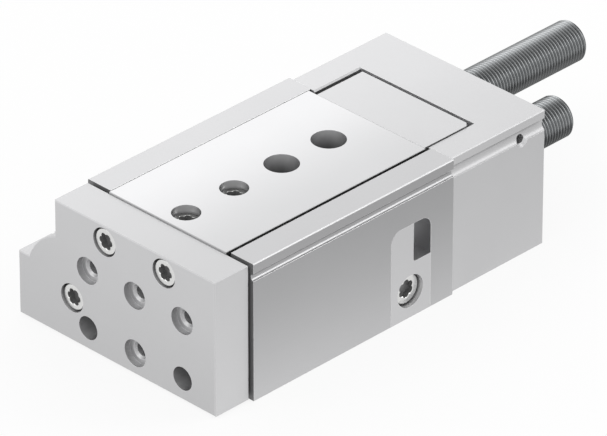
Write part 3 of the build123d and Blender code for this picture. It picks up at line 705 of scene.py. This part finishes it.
def chamfered_blank(radius, length):
    """The bar that the thread is cut to."""
    blank = cylinder(radius + blank_spare, length, blank_sides, length / 2)
    pick(blank, "EDGE", lambda middle, normal: min(middle.z, length - middle.z) < end_band)
    bpy.ops.mesh.bevel(offset=end_chamfer + blank_spare, segments=1, affect="EDGES")
    bpy.ops.object.mode_set(mode="OBJECT")
    return blank


def cut_with(piece, tool, operation="DIFFERENCE"):
    """Takes a tool away from a piece, or adds it, and throws the tool away."""
    apply_modifier(piece, "BOOLEAN", operation=operation, object=tool, solver="EXACT")
    bpy.data.objects.remove(tool)


def threaded_bar(name, node, body):
    """A threaded body in a node's place."""
    low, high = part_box(node)
    radius = (high.x - low.x) / 2
    length = high.y - low.y
    ridge = wound_ridge(radius - thread_depth, length)
    bar = bored_core(radius - thread_depth, length)
    bar.name = name
    blank = chamfered_blank(radius, length)
    cut_with(bar, ridge, "UNION")
    cut_with(bar, blank, "INTERSECT")
    set_down(bar, ((low.x + high.x) / 2, high.y, (low.z + high.z) / 2), TOP_TO_FRONT)
    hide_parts(node)
    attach(bar, body)
    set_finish(bar, "threaded_steel")
    print(name, round(length / MM, 1), "mm,", len(bar.data.polygons), "faces")
    return bar


new_pieces = [
    threaded_bar("advance_absorber_thread", "advance_absorber", "slide"),
    threaded_bar("retract_absorber_thread", "retract_absorber", "housing"),
]

# %% [markdown]
# ## Key sockets
#
# The screws that hold the slide together sit in counterbores, so what shows is the top of a head: a
# bevelled rim, a key socket with a bright countersunk edge, and its dark inside. The larger ones
# have a six-lobe socket and the small ones a hexagon. Both start as the same ring, an inset of the
# head's top face, whose points are then drawn in by their angle.

# %% A key socket
HEAD_POINTS = 48
key_rim = 0.14 * MM  # width and depth of the countersunk edge
near_axis = 0.1 * MM  # picks the one face in the middle
point_share, lobe_share, lobe_bulge = 0.81, 0.19, 0.75
# How far a point may be from the ring of the key and from the share it is picked by, and the
# digits that shares are rounded to.
ring_band, share_band, share_digits = 0.01, 0.0001, 5


def six_lobes(angle):
    """Share of the full radius at an angle: round lobes with narrow points between them."""
    return point_share + lobe_share * abs(math.cos(3 * angle)) ** lobe_bulge


def hexagon(angle):
    """Share of the full radius at an angle: flat between six corners."""
    return math.cos(math.radians(30)) / math.cos(angle % math.radians(60) - math.radians(30))


def sink_key(screw, head_radius, key_radius, key_depth, key_shape):
    """A key socket in the top of a head, with a countersunk edge."""
    pick(screw, "FACE", lambda middle, normal: normal.z > NEARLY)
    bpy.ops.mesh.inset(thickness=head_radius - key_radius)
    step = 2 * math.pi / HEAD_POINTS
    shares = {round(key_shape(step * number), share_digits) for number in range(HEAD_POINTS)}
    for share in sorted(shares):
        pick(screw, "VERT", lambda point, normal: abs(point.z) < WELD
             and abs(from_axis(point) / key_radius - 1) < ring_band
             and abs(key_shape(math.atan2(point.y, point.x)) - share) < share_band)
        bpy.ops.transform.resize(value=(share, share, 1), center_override=(0, 0, 0))
    pick(screw, "FACE",
         lambda middle, normal: normal.z > NEARLY and from_axis(middle) < near_axis)
    bpy.ops.mesh.inset(thickness=key_rim)
    bpy.ops.transform.translate(value=(0, 0, -key_rim))
    push_out((0, 0, key_rim - key_depth))


print("six-lobe socket: a point lies at", round(six_lobes(math.radians(30)), 2), "of the radius")

# %% [markdown]
# ## Cap screws
#
# One screw of each size is modelled and copied to its places. Its head starts as a cylinder, gets
# its socket, then its rounded rim, and last its shank, pushed out of the underside.

# %% One cap screw
head_rim, rim_steps = 0.35 * MM, 3
tip_chamfer = 0.4 * MM
floor_band = 0.01 * MM  # picks the floor of a socket with its walls
# The walls of a socket lie below its rim, and the head's outer edge is its last ring of points.
below_rim, outer_ring = 1.1, 0.98


def cap_screw(head_radius, head_height, shank_radius, key_radius, key_depth, key_shape,
              shank_length, finish):
    """A cap screw on the Z axis, the top of its head at Z = 0."""
    screw = cylinder(head_radius, head_height, HEAD_POINTS, -head_height / 2)
    sink_key(screw, head_radius, key_radius, key_depth, key_shape)
    screw.data.materials.append(finishes[finish])
    screw.data.materials.append(finishes["socket_steel"])
    # Painted shade: the socket's walls and floor take the darker finish.
    pick(screw, "FACE", lambda middle, normal: from_axis(middle) < key_radius
         and -key_depth - floor_band < middle.z < -below_rim * key_rim)
    screw.active_material_index = 1
    bpy.ops.object.material_slot_assign()
    pick(screw, "EDGE", lambda middle, normal: abs(middle.z) < WELD
         and from_axis(middle) > head_radius * outer_ring)
    bpy.ops.mesh.bevel(offset=head_rim, segments=rim_steps, affect="EDGES")
    pick(screw, "FACE",
         lambda middle, normal: normal.z < -NEARLY and from_axis(middle) < near_axis)
    bpy.ops.mesh.inset(thickness=head_radius - shank_radius)
    push_out((0, 0, -shank_length))
    pick(screw, "EDGE", lambda middle, normal: middle.z < -head_height - shank_length + WELD)
    bpy.ops.mesh.bevel(offset=tip_chamfer, segments=1, affect="EDGES")
    bpy.ops.object.mode_set(mode="OBJECT")
    return screw


def add_screws(name, node, body, size, length, places, turn, finish="screw_steel"):
    """One screw of a size and length, copied to all the places of its node."""
    model = cap_screw(**size, shank_length=length - size["head_height"], finish=finish)
    for number, place in enumerate(places, 1):
        screw = model.copy()
        screw.data = model.data.copy()
        bpy.context.scene.collection.objects.link(screw)
        screw.name = f"{name}_{number}"
        set_down(screw, place, turn)
        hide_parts(node)
        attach(screw, body)
        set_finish(screw, "screw_steel")
        new_pieces.append(screw)
    print(len(places), "of", name, len(model.data.polygons), "faces each")
    bpy.data.objects.remove(model)


print("the rim of a head is rounded by", round(head_rim / MM, 2), "mm")

# %% [markdown]
# The sizes are those of standard cap screws. The low M6 head holds the side insert, and it was
# turned down a little, so it sits deeper in its hole than the solid shows.

# %% Sizes of the screws
insert_head_turned_off = 0.45 * MM
M3 = dict(head_radius=2.75 * MM, head_height=3 * MM, shank_radius=1.46 * MM,
          key_radius=1.45 * MM, key_depth=1.5 * MM, key_shape=hexagon)
M4 = dict(head_radius=3.5 * MM, head_height=4 * MM, shank_radius=1.96 * MM,
          key_radius=1.85 * MM, key_depth=2.0 * MM, key_shape=hexagon)
M5 = dict(head_radius=4.25 * MM, head_height=5 * MM, shank_radius=2.46 * MM,
          key_radius=2.9 * MM, key_depth=2.4 * MM, key_shape=six_lobes)
M6_LOW = dict(head_radius=5.0 * MM, head_height=3.5 * MM - insert_head_turned_off,
              shank_radius=2.96 * MM, key_radius=3.2 * MM, key_depth=1.9 * MM,
              key_shape=six_lobes)
print("heads in mm:", [round(2 * size["head_radius"] / MM, 1) for size in (M3, M4, M5, M6_LOW)])

# %% [markdown]
# The places come from the solid model: a row of screws fills its node's box from end to end, so the
# middle of each head is a head's radius inside the box. These move with the slide: two and one in
# the front plate, two down through the slide plate, and two from behind in the tongue.

# %% Screws of the slide
def between(low, high):
    """The middle of two values."""
    return (low + high) / 2


def row_ends(low, high, size):
    """Where the first and the last head of a row lie."""
    return low + size["head_radius"], high - size["head_radius"]


low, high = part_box("yoke_screws")
add_screws("yoke_screw", "yoke_screws", "slide", M5, high.y - low.y,
           [(x, low.y, between(low.z, high.z)) for x in row_ends(low.x, high.x, M5)],
           TOP_TO_FRONT)

low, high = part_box("rod_screw")
add_screws("rod_end_screw", "rod_screw", "slide", M5, high.y - low.y,
           [(between(low.x, high.x), low.y, between(low.z, high.z))], TOP_TO_FRONT)

# The slide plate's screws sit deep and take the darker finish: painted shade.
low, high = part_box("slide_screws")
add_screws("slide_plate_screw", "slide_screws", "slide", M5, high.z - low.z,
           [(between(low.x, high.x), y, high.z) for y in row_ends(low.y, high.y, M5)],
           TOP_STAYS_UP, "sunk_screw_steel")

low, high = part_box("carrier_screws")
add_screws("carrier_screw", "carrier_screws", "slide", M5, high.y - low.y,
           [(x, high.y, between(low.z, high.z)) for x in row_ends(low.x, high.x, M5)],
           TOP_TO_REAR)

# %% [markdown]
# The housing's screws face right, left and back. The middle screw of the barrel and the four
# scattered ones of the rear block fill no regular row, so these have places of their own.

# %% Screws of the housing
middle_barrel_screw_y = -14.3 * MM
rear_block_screws_xz = [(-29.5, 43.0), (28.5, 14.0), (2.0, 15.0), (-43.5, 5.5)]

low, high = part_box("side_insert_screw")
top = high.x - insert_head_turned_off
add_screws("insert_screw", "side_insert_screw", "housing", M6_LOW, top - low.x,
           [(top, between(low.y, high.y), between(low.z, high.z))], TOP_TO_RIGHT)

low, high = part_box("barrel_screws")
first, last = row_ends(low.y, high.y, M3)
add_screws("barrel_screw", "barrel_screws", "housing", M3, high.x - low.x,
           [(low.x, y, between(low.z, high.z)) for y in (first, middle_barrel_screw_y, last)],
           TOP_TO_LEFT)

low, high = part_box("rear_block_screws")
add_screws("rear_block_screw", "rear_block_screws", "housing", M4, high.y - low.y,
           [(x * MM, high.y, z * MM) for x, z in rear_block_screws_xz], TOP_TO_REAR)

# %% [markdown]
# ## Two solids taken over as copies
#
# Two solids differ a little from the real parts. A solid is never changed itself, so a copy
# stands for it. The solid's mesh is loose triangles, and they are merged first, or an edit would
# tear them apart. It also brings stored normals, which would shade the new faces wrongly, so they
# are cleared.
#
# The tongue behind the slide plate is square at its left rear corner, and its solid has that corner
# chamfered. The two edges of the chamfer are pulled into one.

# %% Tongue with one square corner
def taken_over(node, name, body, finish):
    """A copy of a solid that stands for it, with its triangles merged."""
    piece = nodes[node].copy()
    piece.data = nodes[node].data.copy()
    bpy.context.scene.collection.objects.link(piece)
    piece.name = name
    take(piece)
    bpy.ops.object.mode_set(mode="EDIT")
    weld_all()
    bpy.ops.object.mode_set(mode="OBJECT")
    bpy.ops.mesh.customdata_custom_splitnormals_clear()
    piece.data.materials.clear()
    piece.data.materials.append(finishes[finish])
    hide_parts(node)
    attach(piece, body)
    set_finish(piece, finish)
    new_pieces.append(piece)
    return piece


# The solid's chamfer is 1.3 mm, and a hair more picks it whole.
chamfer_reach = 1.31 * MM
tongue = taken_over("stop_carrier", "tongue", "slide", "anodised_aluminium")
low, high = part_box("stop_carrier")
moved = pick(tongue, "VERT", lambda point, normal: point.x < low.x + chamfer_reach
             and point.y > high.y - chamfer_reach)
bpy.ops.transform.resize(value=(0, 0, 1), center_override=(low.x, high.y, 0))
weld_all()
bpy.ops.mesh.normals_make_consistent(inside=False)
bpy.ops.object.mode_set(mode="OBJECT")
print("tongue:", moved, "vertices moved to the corner")

# %% [markdown]
# ## The side of the rear block
#
# The groove in the side of the rear block is wider than the guide body's, and its small countersunk
# hole sits low in it. Both are cut as a shop would cut them again: the old hole is filled, a round
# cutter runs along the side, and a drill and a countersink follow. Each tool is a primitive, and a
# Boolean modifier adds it or takes it away.

# %% Rear block with its own groove and hole
# All in millimetres. The plug fills the solid's hole and ends flush with the side of the block.
plug_low, plug_high = (26, 54, 39), (33.55, 62, 45.4)
groove_middle, groove_radius, groove_length = (34.6, 50, 41.97), 2.45, 60
drill_middle, drill_radius, drill_length = (31.6, 58.8, 40.4), 1.53, 10
sink_middle, sink_depth = (33.36, 58.8, 40.4), 1.98
sink_inner_radius, sink_mouth_radius = 1.45, 3.04
groove_sides, hole_sides = 96, 48


def metres(lengths_mm):
    """Lengths in millimetres, as Blender wants them."""
    return tuple(length * MM for length in lengths_mm)


block = taken_over("rear_block", "rear_block_cut", "housing", "anodised_aluminium")
bpy.ops.mesh.primitive_cube_add(
    size=1, location=metres(between(*ends) for ends in zip(plug_low, plug_high)),
    scale=metres(end - start for start, end in zip(plug_low, plug_high)))
cut_with(block, bpy.context.object, "UNION")
bpy.ops.mesh.primitive_cylinder_add(
    vertices=groove_sides, radius=groove_radius * MM, depth=groove_length * MM,
    location=metres(groove_middle), rotation=TOP_TO_FRONT)
cut_with(block, bpy.context.object)
bpy.ops.mesh.primitive_cylinder_add(
    vertices=hole_sides, radius=drill_radius * MM, depth=drill_length * MM,
    location=metres(drill_middle), rotation=TOP_TO_RIGHT)
cut_with(block, bpy.context.object)
bpy.ops.mesh.primitive_cone_add(
    vertices=hole_sides, radius1=sink_inner_radius * MM, radius2=sink_mouth_radius * MM,
    depth=sink_depth * MM, location=metres(sink_middle), rotation=TOP_TO_RIGHT)
cut_with(block, bpy.context.object)
print("rear block after its cuts:", len(block.data.polygons), "faces")

# %% [markdown]
# Boolean cuts leave thin faces behind. Those that lie in one plane are dissolved into one face,
# and then the round groove can be shaded smooth without marks on the flat sides.

# %% Clean rear block
flat_within = math.radians(0.1)

take(block)
bpy.ops.object.mode_set(mode="EDIT")
weld_all()
bpy.ops.mesh.dissolve_limited(angle_limit=flat_within)
bpy.ops.object.mode_set(mode="OBJECT")
bpy.ops.object.shade_smooth_by_angle(angle=SMOOTH_ANGLE)
print("rear block:", len(block.data.polygons), "faces,",
      [round(side / MM, 2) for side in block.dimensions], "mm")

# %% [markdown]
# ## Dressing the part
#
# Every solid takes the finish of its material slot in the record, and so does every new piece. The
# sockets of the screws have their second one, darker with painted shade, already.

# %% Finishes on all pieces
subparts = frame["record"]["subparts"]
for part in subparts:
    for material_slot in nodes[part["node"]].material_slots:
        material_slot.material = finishes[part["material_slot"]]
for piece in new_pieces:
    if not piece.material_slots:
        piece.data.materials.append(finishes[piece["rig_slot"]])
print(len(subparts), "solids and", len(new_pieces), "new pieces dressed")

# %% [markdown]
# ## Closing the scene
#
# The plain Standard view shows a colour as it was written.

# %% Close the scene
view = bpy.context.scene.view_settings
view.view_transform = "Standard"
